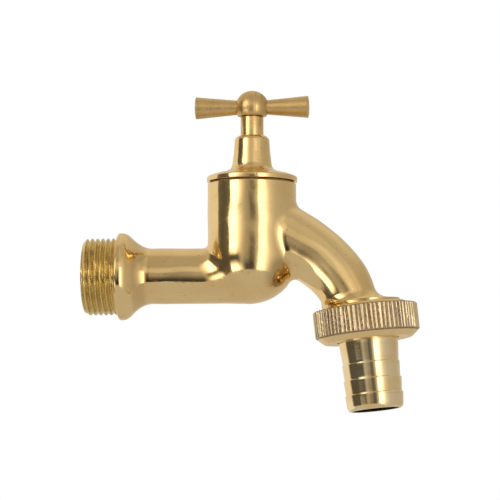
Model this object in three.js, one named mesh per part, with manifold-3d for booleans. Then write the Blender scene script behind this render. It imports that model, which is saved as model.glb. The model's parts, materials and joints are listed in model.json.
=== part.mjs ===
// A brass wall bib tap with a hose union: threaded inlet, upright screw-down valve, curved spout,
// knurled union nut, barbed hose tail and a tee handle.
//
// Millimetres, +Z up. The origin is the centre of the inlet's end face, on the inlet's axis, and +X
// runs from the wall towards the outlet. The tap is mirror-symmetric about the plane Y = 0, apart
// from its right-hand threads. The union's pieces lie along their own axis, tilted off the vertical.
import * as THREE from 'three';
import { mergeVertices } from 'three/addons/utils/BufferGeometryUtils.js';
import Module from 'manifold-3d';

const wasm = await Module();
wasm.setup();

// ---------------------------------------------------------------- driving dimensions

const GAP = 0.3; // clearance between neighbouring pieces
const ROUND = 32; // flats on a large turned surface
const SMALL_ROUND = 20; // flats on a small one
const degrees = THREE.MathUtils.degToRad;

// The 3/4 inch parallel pipe thread at the inlet. The outlet's thread, inside the nut, is the same size.
const THREAD = { pitch: 1.814, crest: 13.22, root: 12.06, flatCrest: 0.2, flatRoot: 0.8, stepsPerTurn: 16 };

const INLET = { threadEnd: 10, runOut: 13.1, collarBack: 11.8, collarRadius: 14.9, collarFront: 15.3, bore: 7.3 };
const NECK = { start: 20.6, radius: 9.5, boreEnd: 41, passage: 5.2, passageDrop: 1.3 };
const BARREL = { x: 57.7, radius: 15.15, ballZ: 5.6, top: 31.5 };
const CHAMBER = { lowFloor: -5.5, lowRadius: 7.6, lowTop: 3.5, floor: 7.5, radius: 12.2, socket: 12.6, socketFloor: 22 };
const SEAT = { bore: 6.6, top: 8.3, lip: 8.4 };
const GASKET = { recess: 30.6, bottom: 30.9, top: 31.9, inner: 12.9, outer: 14.3 };

const SPOUT = { start: [64, 15.6], startDrop: 25, end: [91.8, -10.9], endDrop: 80, reach: 13 };
SPOUT.startRadius = 11.4;
SPOUT.endRadius = 9.1;
SPOUT.bore = 6.2;

// The outlet's axis leans away from the wall at its foot. Stations along it start at the nut's top face.
const OUTLET = { x: 96.3, z: -11.35, lean: 6, collar: 14.4, thread: 13, end: 5.3, bore: 7.9 };
const NUT = { radius: 17.9, groove: 17.45, ridges: 72, bore: 13.4, knurl: 8.9, length: 11.4, lip: 9.3, hole: 10.7 };
NUT.chamferRadius = 15;
const TAIL = { flangeTop: 7.6, flangeFoot: 9, flange: 12.9, bore: 7.9, end: 35.1, mouth: 9.4 };
const TAIL_BARBS = [
  { top: 19.1, before: 9.5, crest: 9.85 },
  { top: 24.5, before: 9.4, crest: 9.9 },
  { top: 29.6, before: 9.4, crest: 9.95 },
];
const TAIL_WASHER = { top: 5.6, foot: 7.3, inner: 8.3, outer: 12.6 };

const BONNET = { skirt: 12.3, skirtFoot: 22.8, flange: 15.55, flangeFoot: 32.2, flangeTop: 34, top: 48.1 };
BONNET.shoulder = [10.4, 35.5];
BONNET.neckFoot = [6.9, 37.7];
BONNET.neckTop = 5.95;
BONNET.rounding = 1.2;
BONNET.bore = 4.25;
BONNET.screwRadius = 5.3;
BONNET.screwTop = 39.6;

const SPINDLE = { foot: 14.4, screwFoot: 22, screwTop: 33, screw: 5, stem: 3.93, neckStart: 54.6, neck: 3.2, top: 61.2 };
SPINDLE.pinBore = 2.7;
SPINDLE.pinBoreTop = 22.5;
SPINDLE.ringGroove = 3.6;
const O_RING = { stations: [40.4, 42.3], inner: 3.15, outer: 4.0, height: 1, groove: 2.85, play: 0.2 };

const JUMPER = { discFoot: 11.9, discTop: 13.9, disc: 8.8, pin: 2.4, pinTop: 21.8, pinNeck: 1.8, stud: 1.8, studFoot: 5.2 };
const SNAP_RING = { foot: 17, top: 17.8, inner: 2.1, outer: 3.3 };
const VALVE_WASHER = { foot: 8.6, top: 11.6, inner: 2.2, outer: 8.4 };
const WASHER_NUT = { foot: 5.6, top: 8.3, corner: 5, hole: 2.2 };

const HUB = { z: 58.05, radius: 5.8, foot: 54.95, hole: 3.5, holeTop: 61.5, pocket: 2.75, pocketStart: 4.9 };
const ARM = { start: 5.2, end: 19.6, root: 2.42, tip: 3.8, rounding: 0.6, hole: 1.8, holeEnd: 11.8 };
const STUD = { radius: 1.5, half: 11.5 };

// ---------------------------------------------------------------- materials

const paint = (color, roughness, metalness) => new THREE.MeshStandardMaterial({ color, roughness, metalness });
const MATERIAL = {
  polishedBrass: paint(0xc8a56a, 0.18, 1),
  satinBrass: paint(0xcfae74, 0.35, 1),
  knurledBrass: paint(0xb98a62, 0.4, 1),
  steel: paint(0x9a9a98, 0.35, 1),
  rubber: paint(0x1d1c1b, 0.8, 0),
  fibre: paint(0x7d3b2c, 0.85, 0),
};

// ---------------------------------------------------------------- shape helpers

// A surface turned about Z from a closed or axis-to-axis outline of (radius, height).
function turned(outline, segments = ROUND) {
  const geometry = new THREE.LatheGeometry(outline, segments);
  return geometry.rotateX(Math.PI / 2);
}

// An outline of (radius, height) from pairs of numbers.
function outlineOf(pairs) {
  return pairs.map(([radius, height]) => new THREE.Vector2(radius, height));
}

// A rod about Z between two heights.
function rod(radius, foot, top, segments = ROUND) {
  return turned(outlineOf([[0, foot], [radius, foot], [radius, top], [0, top]]), segments);
}

// A ring of rectangular section about Z.
function ring(inner, outer, foot, top, segments = ROUND) {
  const corners = [[inner, foot], [outer, foot], [outer, top], [inner, top], [inner, foot]];
  return turned(outlineOf(corners), segments);
}

// Turns a geometry built about Z so that it lies along +X (side 1) or -X (side -1).
function alongX(geometry, side = 1) {
  return geometry.rotateY(side * Math.PI / 2);
}

// Turns and moves a geometry built about Z onto the outlet's axis, with its stations running down.
const outletPlace = new THREE.Matrix4()
  .makeTranslation(OUTLET.x, 0, OUTLET.z)
  .multiply(new THREE.Matrix4().makeRotationY(Math.PI - degrees(OUTLET.lean)));

// A geometry as a solid that can be joined and cut.
function solid(geometry) {
  const bare = geometry.clone();
  bare.deleteAttribute('normal');
  bare.deleteAttribute('uv');
  const merged = mergeVertices(bare, 1e-4);
  const corners = merged.index.array;
  const kept = [];
  for (let i = 0; i < corners.length; i += 3) {
    const [a, b, c] = [corners[i], corners[i + 1], corners[i + 2]];
    if (a !== b && b !== c && c !== a) {
      kept.push(a, b, c);
    }
  }
  const mesh = new wasm.Mesh({
    numProp: 3,
    vertProperties: new Float32Array(merged.attributes.position.array),
    triVerts: new Uint32Array(kept),
  });
  return new wasm.Manifold(mesh);
}

// A solid back as a geometry.
function geometryOf(body) {
  const mesh = body.getMesh();
  const geometry = new THREE.BufferGeometry();
  geometry.setAttribute('position', new THREE.BufferAttribute(new Float32Array(mesh.vertProperties), 3));
  geometry.setIndex(new THREE.BufferAttribute(new Uint32Array(mesh.triVerts), 1));
  geometry.computeVertexNormals();
  return geometry;
}

const join = (geometries) => geometries.map(solid).reduce((whole, next) => whole.add(next));
const cut = (body, geometries) => geometries.map(solid).reduce((whole, next) => whole.subtract(next), body);

// A right-hand helix about Z whose cross-section frame stays radial and axial.
class HelixCurve extends THREE.Curve {
  constructor(radius, pitch, foot, turns) {
    super();
    Object.assign(this, { radius, pitch, foot, turns });
  }

  getPoint(t, target = new THREE.Vector3()) {
    const angle = 2 * Math.PI * this.turns * t;
    const height = this.foot + this.pitch * this.turns * t;
    return target.set(this.radius * Math.cos(angle), this.radius * Math.sin(angle), height);
  }

  computeFrenetFrames(segments) {
    const tangents = [];
    const normals = [];
    const binormals = [];
    for (let i = 0; i <= segments; i += 1) {
      const angle = 2 * Math.PI * this.turns * i / segments;
      tangents.push(new THREE.Vector3(-Math.sin(angle), Math.cos(angle), 0));
      normals.push(new THREE.Vector3(Math.cos(angle), Math.sin(angle), 0));
      binormals.push(new THREE.Vector3(0, 0, -1));
    }
    return { tangents, normals, binormals };
  }
}

// The ridge of a male thread about Z, running past both ends so that an envelope can trim it.
function threadRidge(foot, top) {
  const root = THREAD.root - 0.2;
  const depth = THREAD.crest - root;
  const section = new THREE.Shape(outlineOf([
    [0, -THREAD.flatRoot],
    [depth, -THREAD.flatCrest],
    [depth, THREAD.flatCrest],
    [0, THREAD.flatRoot],
  ]));
  const start = foot - THREAD.pitch;
  const turns = Math.ceil((top - start) / THREAD.pitch) + 1;
  const path = new HelixCurve(root, THREAD.pitch, start, turns);
  const steps = turns * THREAD.stepsPerTurn;
  return new THREE.ExtrudeGeometry(section, { steps, bevelEnabled: false, extrudePath: path });
}

// A male thread between two stations, chamfered at its foot.
function maleThread(foot, top) {
  const sink = THREAD.root - 0.4;
  const clear = THREAD.crest + 0.05;
  const envelope = turned(outlineOf([
    [sink, foot],
    [THREAD.root, foot],
    [clear, foot + clear - THREAD.root],
    [clear, top],
    [sink, top],
    [sink, foot],
  ]), THREAD.stepsPerTurn);
  return solid(threadRidge(foot, top)).intersect(solid(envelope));
}

// A round bar whose radius changes steadily along a curve in the plane Y = 0.
function taperedBend(curve, startRadius, endRadius, steps = 10, segments = 28) {
  const outline = [new THREE.Vector2(0, 0)];
  for (let i = 0; i <= steps; i += 1) {
    const along = i / steps;
    outline.push(new THREE.Vector2(THREE.MathUtils.lerp(startRadius, endRadius, along), along));
  }
  outline.push(new THREE.Vector2(0, 1));
  const geometry = new THREE.LatheGeometry(outline, segments);
  const place = geometry.attributes.position;
  for (let i = 0; i < place.count; i += 1) {
    const along = Math.min(Math.max(place.getY(i), 0), 1);
    const centre = curve.getPointAt(along);
    const tangent = curve.getTangentAt(along);
    const across = place.getX(i);
    const inPlane = place.getZ(i);
    place.setXYZ(i, centre.x + inPlane * tangent.z, across, centre.z - inPlane * tangent.x);
  }
  return geometry;
}

// The spout's centreline.
function spoutLine() {
  const heading = (drop) => [Math.cos(degrees(drop)), -Math.sin(degrees(drop))];
  const [startX, startZ] = heading(SPOUT.startDrop);
  const [endX, endZ] = heading(SPOUT.endDrop);
  const start = new THREE.Vector3(SPOUT.start[0], 0, SPOUT.start[1]);
  const end = new THREE.Vector3(SPOUT.end[0], 0, SPOUT.end[1]);
  const leave = start.clone().add(new THREE.Vector3(startX, 0, startZ).multiplyScalar(SPOUT.reach));
  const arrive = end.clone().sub(new THREE.Vector3(endX, 0, endZ).multiplyScalar(SPOUT.reach));
  return new THREE.CubicBezierCurve3(start, leave, arrive, end);
}

// ---------------------------------------------------------------- the casting

// Threaded inlet, collar, cone and neck, turned about the inlet's axis.
function inletAndNeck() {
  const { threadEnd, runOut, collarBack, collarRadius, collarFront } = INLET;
  const edge = 0.6;
  const outline = outlineOf([
    [0, 0],
    [THREAD.root, 0],
    [THREAD.root, threadEnd],
    [runOut, threadEnd + GAP],
    [runOut, collarBack],
    [collarRadius - edge, collarBack],
    [collarRadius, collarBack + edge],
    [collarRadius, collarFront - edge],
    [collarRadius - edge, collarFront],
    [NECK.radius + edge, NECK.start - edge],
    [NECK.radius, NECK.start + edge],
    [NECK.radius, BARREL.x],
    [0, BARREL.x],
  ]);
  return alongX(turned(outline));
}

// The barrel, with its ball-shaped foot.
function barrel() {
  const outline = new THREE.Path()
    .absarc(0, BARREL.ballZ, BARREL.radius, -Math.PI / 2, 0, false)
    .lineTo(BARREL.radius, BARREL.top)
    .lineTo(0, BARREL.top)
    .getPoints(5);
  outline[0].x = 0;
  return turned(outline).translate(BARREL.x, 0, 0);
}

// The outlet's collar and its threaded end, which is plain here, about the outlet's axis.
function outletCollar() {
  const outline = outlineOf([
    [0, -4.4],
    [5, -4.2],
    [12.5, -1.4],
    [OUTLET.collar, -0.9],
    [OUTLET.collar, -GAP],
    [OUTLET.thread, -GAP],
    [OUTLET.thread, OUTLET.end - 0.8],
    [THREAD.root, OUTLET.end],
    [0, OUTLET.end],
  ]);
  return turned(outline).applyMatrix4(outletPlace);
}

// The waterways: inlet bore, passage, chamber under the seat, chamber over it, and the spout's bore.
function waterways(line) {
  const past = 1;
  const seatLip = turned(outlineOf([
    [SEAT.lip, CHAMBER.floor],
    [CHAMBER.radius, CHAMBER.floor],
    [CHAMBER.radius, CHAMBER.socketFloor + past],
    [0, CHAMBER.socketFloor + past],
    [0, SEAT.top],
    [SEAT.lip - 0.7, SEAT.top],
    [SEAT.lip, CHAMBER.floor],
  ]), SMALL_ROUND);
  return [
    alongX(rod(INLET.bore, -past, NECK.boreEnd, SMALL_ROUND)),
    alongX(rod(NECK.passage, NECK.boreEnd - past, BARREL.x, SMALL_ROUND)).translate(0, 0, -NECK.passageDrop),
    rod(CHAMBER.lowRadius, CHAMBER.lowFloor, CHAMBER.lowTop, SMALL_ROUND).translate(BARREL.x, 0, 0),
    rod(SEAT.bore, CHAMBER.lowTop - past, SEAT.top + past, SMALL_ROUND).translate(BARREL.x, 0, 0),
    seatLip.translate(BARREL.x, 0, 0),
    rod(CHAMBER.socket, CHAMBER.socketFloor, BARREL.top + past).translate(BARREL.x, 0, 0),
    rod(GASKET.outer + GAP, GASKET.recess, BARREL.top + past).translate(BARREL.x, 0, 0),
    taperedBend(line, SPOUT.bore, SPOUT.bore, 8, SMALL_ROUND),
    rod(OUTLET.bore, -1.5, OUTLET.end + past, SMALL_ROUND).applyMatrix4(outletPlace),
  ];
}

function tapBody() {
  const line = spoutLine();
  const spout = taperedBend(line, SPOUT.startRadius, SPOUT.endRadius);
  const casting = join([inletAndNeck(), barrel(), spout, outletCollar()]);
  const inletThread = maleThread(0, INLET.threadEnd).rotate([0, 90, 0]);
  return geometryOf(cut(casting.add(inletThread), waterways(line)));
}

// ---------------------------------------------------------------- the headgear

// Bonnet, turned all over: skirt, flange, domed shoulder, flare and a tapered neck with a rounded top.
function bonnet() {
  const { skirt, skirtFoot, flange, flangeFoot, flangeTop, shoulder, neckFoot, neckTop, top, rounding } = BONNET;
  const outline = new THREE.Path()
    .moveTo(0, skirtFoot)
    .lineTo(skirt, skirtFoot)
    .lineTo(skirt, flangeFoot)
    .lineTo(flange, flangeFoot)
    .lineTo(flange, flangeTop - 0.4)
    .lineTo(flange - 0.4, flangeTop)
    .lineTo(...shoulder)
    .quadraticCurveTo(neckFoot[0] + 0.5, shoulder[1] + 0.4, ...neckFoot)
    .lineTo(neckTop, top - rounding)
    .absarc(neckTop - rounding, top - rounding, rounding, 0, Math.PI / 2, false)
    .lineTo(0, top)
    .getPoints(5);
  const hollow = [
    rod(skirt - 2.2, skirtFoot - 1, skirtFoot + 4),
    rod(BONNET.screwRadius, skirtFoot, BONNET.screwTop, SMALL_ROUND),
    rod(BONNET.bore, BONNET.screwTop - 1, top + 1, SMALL_ROUND),
  ];
  return geometryOf(cut(solid(turned(outline)), hollow));
}

// Spindle: pin bore and ring groove at the foot, screw, stem with two seal grooves, necked top.
function spindle() {
  const { foot, screwFoot, screwTop, screw, stem, neckStart, neck, top, pinBore, pinBoreTop, ringGroove } = SPINDLE;
  const grooves = O_RING.stations.flatMap((station) => [
    [stem, station - O_RING.height / 2 - O_RING.play],
    [O_RING.groove, station - O_RING.height / 2 - O_RING.play],
    [O_RING.groove, station + O_RING.height / 2 + O_RING.play],
    [stem, station + O_RING.height / 2 + O_RING.play],
  ]);
  const outline = outlineOf([
    [pinBore, foot],
    [screw - 0.6, foot],
    [screw - 0.6, screwFoot],
    [screw, screwFoot + 0.5],
    [screw, screwTop - 0.5],
    [stem, screwTop + 0.5],
    ...grooves,
    [stem, neckStart],
    [neck, neckStart],
    [neck, top],
    [0, top],
    [0, pinBoreTop],
    [pinBore, pinBoreTop],
    [pinBore, SNAP_RING.top + GAP],
    [ringGroove, SNAP_RING.top + GAP],
    [ringGroove, SNAP_RING.foot - GAP],
    [pinBore, SNAP_RING.foot - GAP],
    [pinBore, foot],
  ]);
  const cross = alongX(rod(STUD.radius + GAP, -6, 6, SMALL_ROUND)).translate(0, 0, HUB.z);
  return geometryOf(cut(solid(turned(outline, SMALL_ROUND)), [cross]));
}

// Jumper: disc, pin with a neck for the snap ring, and stud for the washer nut.
function valveJumper() {
  const { discFoot, discTop, disc, pin, pinTop, pinNeck, stud, studFoot } = JUMPER;
  return turned(outlineOf([
    [0, studFoot],
    [stud, studFoot],
    [stud, discFoot],
    [disc, discFoot],
    [disc, discTop],
    [pin, discTop],
    [pin, SNAP_RING.foot - GAP],
    [pinNeck, SNAP_RING.foot - GAP],
    [pinNeck, SNAP_RING.top + GAP],
    [pin, SNAP_RING.top + GAP],
    [pin, pinTop],
    [0, pinTop],
  ]), SMALL_ROUND);
}

function washerNut() {
  const body = solid(rod(WASHER_NUT.corner, WASHER_NUT.foot, WASHER_NUT.top, 6));
  const hole = rod(WASHER_NUT.hole, WASHER_NUT.foot - 1, WASHER_NUT.top + 1, SMALL_ROUND);
  return geometryOf(cut(body, [hole]));
}

// ---------------------------------------------------------------- the tee handle

// Ball hub with a flat foot, a hole for the stem, and a pocket and a cross hole for each arm.
function handleHub() {
  const start = Math.asin((HUB.foot - HUB.z) / HUB.radius);
  const outline = new THREE.Path()
    .moveTo(0, HUB.foot)
    .lineTo(HUB.radius * Math.cos(start), HUB.foot)
    .absarc(0, HUB.z, HUB.radius, start, Math.PI / 2, false)
    .getPoints(9);
  outline[outline.length - 1].x = 0;
  const pocketDepth = HUB.radius - HUB.pocketStart + 1;
  const pockets = [1, -1].map((side) => {
    const pocket = rod(HUB.pocket, HUB.pocketStart, HUB.pocketStart + pocketDepth, SMALL_ROUND);
    return alongX(pocket, side).translate(0, 0, HUB.z);
  });
  const cross = alongX(rod(STUD.radius + GAP, -HUB.radius, HUB.radius, SMALL_ROUND)).translate(0, 0, HUB.z);
  const stemHole = rod(HUB.hole, HUB.foot - 1, HUB.holeTop, SMALL_ROUND);
  return geometryOf(cut(solid(turned(outline, SMALL_ROUND)), [...pockets, cross, stemHole]));
}

// One tapered arm, with a rounded tip and a blind hole for the stud.
function handleArm(side) {
  const { start, end, root, tip, rounding, hole, holeEnd } = ARM;
  const outline = new THREE.Path()
    .moveTo(hole, start)
    .lineTo(root, start)
    .lineTo(tip, end - rounding)
    .absarc(tip - rounding, end - rounding, rounding, 0, Math.PI / 2, false)
    .lineTo(0, end + 0.05)
    .lineTo(0, holeEnd)
    .lineTo(hole, holeEnd)
    .lineTo(hole, start)
    .getPoints(3);
  return alongX(turned(outline, SMALL_ROUND), side);
}

// ---------------------------------------------------------------- the hose union

// Union nut: straight knurl, chamfered foot, bore over the outlet's thread and a lip under the tail.
function unionNut() {
  const knurl = new THREE.Shape();
  for (let i = 0; i < 2 * NUT.ridges; i += 1) {
    const angle = Math.PI * i / NUT.ridges;
    const radius = i % 2 === 0 ? NUT.radius : NUT.groove;
    const point = [radius * Math.cos(angle), radius * Math.sin(angle)];
    if (i === 0) {
      knurl.moveTo(...point);
    } else {
      knurl.lineTo(...point);
    }
  }
  const bar = new THREE.ExtrudeGeometry(knurl, { depth: NUT.length, steps: 1, bevelEnabled: false });
  const envelope = turned(outlineOf([
    [NUT.bore, 0],
    [NUT.radius - 0.3, 0],
    [NUT.radius + 0.1, 0.4],
    [NUT.radius + 0.1, NUT.knurl],
    [NUT.chamferRadius, NUT.length],
    [NUT.hole, NUT.length],
    [NUT.hole, NUT.lip],
    [NUT.bore, NUT.lip],
    [NUT.bore, 0],
  ]));
  return geometryOf(solid(bar).intersect(solid(envelope)));
}

// Hose tail: flange held by the nut, plain neck, three barbs and a rounded mouth.
function hoseTail() {
  const { flangeTop, flangeFoot, flange, bore, end, mouth } = TAIL;
  const neckRadius = 10.2;
  const ridges = TAIL_BARBS.flatMap(({ top, before, crest }) => [
    [before, top],
    [crest, top + 0.25],
    [crest, top + 0.7],
  ]);
  return turned(outlineOf([
    [bore, flangeTop],
    [flange, flangeTop],
    [flange, flangeFoot],
    [neckRadius, flangeFoot],
    [neckRadius - 0.1, 13],
    ...ridges,
    [mouth, end - 1.6],
    [mouth - 0.4, end - 0.5],
    [mouth - 1, end],
    [bore, end],
    [bore, flangeTop],
  ]));
}

// ---------------------------------------------------------------- the assembly

function piece(name, geometry, material) {
  const mesh = new THREE.Mesh(geometry, material);
  mesh.name = name;
  return mesh;
}

// The valve and everything on the barrel's axis.
function headgear() {
  const group = new THREE.Group();
  group.position.x = BARREL.x;
  const gasket = ring(GASKET.inner, GASKET.outer, GASKET.bottom, GASKET.top);
  const snapRing = ring(SNAP_RING.inner, SNAP_RING.outer, SNAP_RING.foot, SNAP_RING.top, SMALL_ROUND);
  const washer = ring(VALVE_WASHER.inner, VALVE_WASHER.outer, VALVE_WASHER.foot, VALVE_WASHER.top, SMALL_ROUND);
  group.add(
    piece('bonnet', bonnet(), MATERIAL.polishedBrass),
    piece('bonnet_gasket', gasket, MATERIAL.fibre),
    piece('spindle', spindle(), MATERIAL.satinBrass),
    piece('valve_jumper', valveJumper(), MATERIAL.satinBrass),
    piece('jumper_snap_ring', snapRing, MATERIAL.steel),
    piece('valve_washer', washer, MATERIAL.rubber),
    piece('valve_washer_nut', washerNut(), MATERIAL.satinBrass),
  );
  ['stem_o_ring_lower', 'stem_o_ring_upper'].forEach((name, i) => {
    const half = O_RING.height / 2;
    const seal = ring(O_RING.inner, O_RING.outer, -half, half, SMALL_ROUND);
    const mesh = piece(name, seal, MATERIAL.rubber);
    mesh.position.z = O_RING.stations[i];
    group.add(mesh);
  });
  return group;
}

// Hub, arms and the stud that ties them to the stem.
function teeHandle() {
  const group = new THREE.Group();
  group.position.x = BARREL.x;
  const arms = [['handle_arm_left', -1], ['handle_arm_right', 1]];
  group.add(piece('handle_hub', handleHub(), MATERIAL.satinBrass));
  arms.forEach(([name, side]) => {
    const arm = piece(name, handleArm(side), MATERIAL.satinBrass);
    arm.position.z = HUB.z;
    group.add(arm);
  });
  const stud = piece('handle_stud', alongX(rod(STUD.radius, -STUD.half, STUD.half, SMALL_ROUND)), MATERIAL.steel);
  stud.position.z = HUB.z;
  group.add(stud);
  return group;
}

// Nut, tail and washer on the outlet's leaning axis.
function hoseUnion() {
  const group = new THREE.Group();
  group.position.set(OUTLET.x, 0, OUTLET.z);
  group.rotation.y = Math.PI - degrees(OUTLET.lean);
  const washer = ring(TAIL_WASHER.inner, TAIL_WASHER.outer, TAIL_WASHER.top, TAIL_WASHER.foot);
  group.add(
    piece('union_nut', unionNut(), MATERIAL.knurledBrass),
    piece('hose_tail', hoseTail(), MATERIAL.satinBrass),
    piece('hose_tail_washer', washer, MATERIAL.rubber),
  );
  return group;
}

const hoseBib = new THREE.Group();
hoseBib.add(piece('tap_body', tapBody(), MATERIAL.polishedBrass), headgear(), teeHandle(), hoseUnion());

export default hoseBib;
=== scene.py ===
"""Fine surfaces, finishes, light and camera for a brass wall bib tap with a hose union.

Lengths are in millimetres unless a name ends in _m, and MM turns them into metres. A turned piece is
drawn as an outline of (radius, station) along its own axis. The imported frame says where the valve's
axis and the outlet's axis lie, and which body each piece moves with.
"""

from __future__ import annotations

import json
import logging
import math
from contextlib import contextmanager
from dataclasses import dataclass, field
from enum import Enum
from typing import Any, Callable, Iterator, Sequence

import bpy
import numpy as np
from mathutils import Matrix, Vector

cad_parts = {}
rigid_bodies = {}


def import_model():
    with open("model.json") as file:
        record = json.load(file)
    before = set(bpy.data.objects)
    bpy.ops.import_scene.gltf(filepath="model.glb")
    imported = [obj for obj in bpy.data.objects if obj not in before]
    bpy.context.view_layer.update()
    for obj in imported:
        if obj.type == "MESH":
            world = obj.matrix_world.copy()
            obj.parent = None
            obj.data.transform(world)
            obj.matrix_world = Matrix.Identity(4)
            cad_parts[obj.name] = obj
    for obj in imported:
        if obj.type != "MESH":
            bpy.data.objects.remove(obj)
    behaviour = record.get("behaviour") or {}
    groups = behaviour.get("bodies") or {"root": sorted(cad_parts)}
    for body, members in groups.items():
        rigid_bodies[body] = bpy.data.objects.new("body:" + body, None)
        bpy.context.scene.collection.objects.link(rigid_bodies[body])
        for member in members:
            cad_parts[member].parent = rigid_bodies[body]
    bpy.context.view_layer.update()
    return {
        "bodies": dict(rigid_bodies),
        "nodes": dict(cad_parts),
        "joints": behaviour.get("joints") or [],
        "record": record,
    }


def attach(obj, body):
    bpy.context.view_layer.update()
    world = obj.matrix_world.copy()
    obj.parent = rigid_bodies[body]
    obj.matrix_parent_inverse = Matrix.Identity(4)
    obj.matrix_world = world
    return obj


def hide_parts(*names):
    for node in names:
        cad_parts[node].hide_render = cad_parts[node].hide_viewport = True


LOG = logging.getLogger("hose_bib")
MM = 0.001
TURN = 2.0 * math.pi

Outline = list[tuple[float, float]]
Stop = tuple[float, float]
Points = np.ndarray


# ------------------------------------------------------------------------------------------ axes


@dataclass(frozen=True)
class Axis:
    """A turning axis, in millimetres: the point at station 0 and the way its stations run."""

    origin: tuple[float, float, float]
    direction: tuple[float, float, float]

    def matrix(self) -> Matrix:
        """Gives the matrix from the axis's own metres, stations along +Z, to the frame."""
        along = Vector(self.direction).normalized()
        across = Vector((0.0, 1.0, 0.0))
        side = across.cross(along)
        turn = Matrix((side, across, along)).transposed().to_4x4()
        return Matrix.Translation(Vector(self.origin) * MM) @ turn

    def local(self, points: Points) -> Points:
        """Gives points of the frame, in millimetres, in the axis's own coordinates."""
        turn = np.array(self.matrix().to_3x3())
        return (points - np.array(self.origin)) @ turn

    def turn_back(self, vectors: Points) -> Points:
        """Gives vectors of the axis's own coordinates in the frame's."""
        return vectors @ np.array(self.matrix().to_3x3()).T


# ------------------------------------------------------------------------------------------ outlines


def rounded(corners: Sequence[tuple[float, float, float]], pieces: int = 4) -> Outline:
    """Draws an outline with rounded corners.

    Args:
        corners: (radius, station, rounding) of each corner, in order.
        pieces: how many straight pieces make each rounding.

    Returns:
        The outline's points.
    """
    points: Outline = []
    for i, (radius, station, rounding) in enumerate(corners):
        here = Vector((radius, station))
        if rounding <= 0.0 or i in (0, len(corners) - 1):
            points.append((radius, station))
            continue
        back = Vector(corners[i - 1][:2]) - here
        ahead = Vector(corners[i + 1][:2]) - here
        half = 0.5 * back.angle(ahead)
        reach = min(rounding / math.tan(half), 0.48 * back.length, 0.48 * ahead.length)
        arc = reach * math.tan(half)
        centre = here + (back.normalized() + ahead.normalized()).normalized() * arc / math.sin(half)
        first = here + back.normalized() * reach - centre
        last = here + ahead.normalized() * reach - centre
        sweep = first.angle_signed(last)
        for k in range(pieces + 1):
            step = first.copy()
            step.rotate(Matrix.Rotation(-sweep * k / pieces, 2))
            points.append((centre.x + step.x, centre.y + step.y))
    return points


def stepped(outline: Outline, longest: float) -> Outline:
    """Splits an outline's long stretches so that none is longer than a length."""
    points = [outline[0]]
    for (r0, s0), (r1, s1) in zip(outline, outline[1:]):
        count = max(1, math.ceil(math.hypot(r1 - r0, s1 - s0) / longest))
        points += [(r0 + (r1 - r0) * k / count, s0 + (s1 - s0) * k / count) for k in range(1, count + 1)]
    return points


# ------------------------------------------------------------------------------------------ the bench


def deselect_all() -> None:
    """Leaves no object selected."""
    bpy.ops.object.select_all(action="DESELECT")


def pick(*objects: bpy.types.Object) -> None:
    """Selects these objects and no others, and makes the first the active one."""
    deselect_all()
    for item in objects:
        item.select_set(True)
    bpy.context.view_layer.objects.active = objects[0]


@contextmanager
def editing(piece: bpy.types.Object) -> Iterator[None]:
    """Opens a piece in edit mode with everything selected."""
    pick(piece)
    bpy.ops.object.mode_set(mode="EDIT")
    bpy.ops.mesh.select_mode(type="VERT")
    bpy.ops.mesh.select_all(action="SELECT")
    yield
    bpy.ops.object.mode_set(mode="OBJECT")


def vertices_of(piece: bpy.types.Object) -> Points:
    """Gives a mesh's vertices as an (n, 3) array in millimetres."""
    flat = np.empty(len(piece.data.vertices) * 3)
    piece.data.vertices.foreach_get("co", flat)
    return flat.reshape(-1, 3) / MM


def set_vertices(piece: bpy.types.Object, points: Points) -> None:
    """Puts a mesh's vertices at points given in millimetres."""
    piece.data.vertices.foreach_set("co", (points * MM).ravel())
    piece.data.update()


def tidy_shell(piece: bpy.types.Object) -> None:
    """Merges a shell's doubles and turns its faces outwards."""
    with editing(piece):
        bpy.ops.mesh.remove_doubles(threshold=0.002 * MM)
        bpy.ops.mesh.normals_make_consistent(inside=False)


def apply_modifier(piece: bpy.types.Object, kind: str, **settings: Any) -> None:
    """Adds a modifier to a piece, sets it and applies it."""
    pick(piece)
    modifier = piece.modifiers.new(kind.lower(), kind)
    for name, value in settings.items():
        setattr(modifier, name, value)
    bpy.ops.object.modifier_apply(modifier=modifier.name)


def combine(piece: bpy.types.Object, tool: bpy.types.Object, operation: str) -> None:
    """Joins a tool to a piece or cuts it away, and throws the tool away.

    Args:
        piece: the closed shell to change.
        tool: the closed shell that changes it.
        operation: UNION or DIFFERENCE.
    """
    apply_modifier(piece, "BOOLEAN", operation=operation, solver="MANIFOLD", object=tool)
    bpy.data.objects.remove(tool)


def draw_outline(name: str, outline: Outline) -> bpy.types.Object:
    """Draws an outline in the XZ plane, point by point, from a plane merged to one corner."""
    (radius, station), *rest = outline
    bpy.ops.mesh.primitive_plane_add(size=MM, location=(0.0, 0.0, 0.0))
    piece = bpy.context.active_object
    piece.name = name
    piece.data.name = name
    with editing(piece):
        bpy.ops.mesh.merge(type="CENTER")
        bpy.ops.transform.translate(value=(radius * MM, 0.0, station * MM))
        for r, s in rest:
            step = ((r - radius) * MM, 0.0, (s - station) * MM)
            bpy.ops.mesh.extrude_region_move(TRANSFORM_OT_translate={"value": step})
            radius, station = r, s
    return piece


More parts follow.
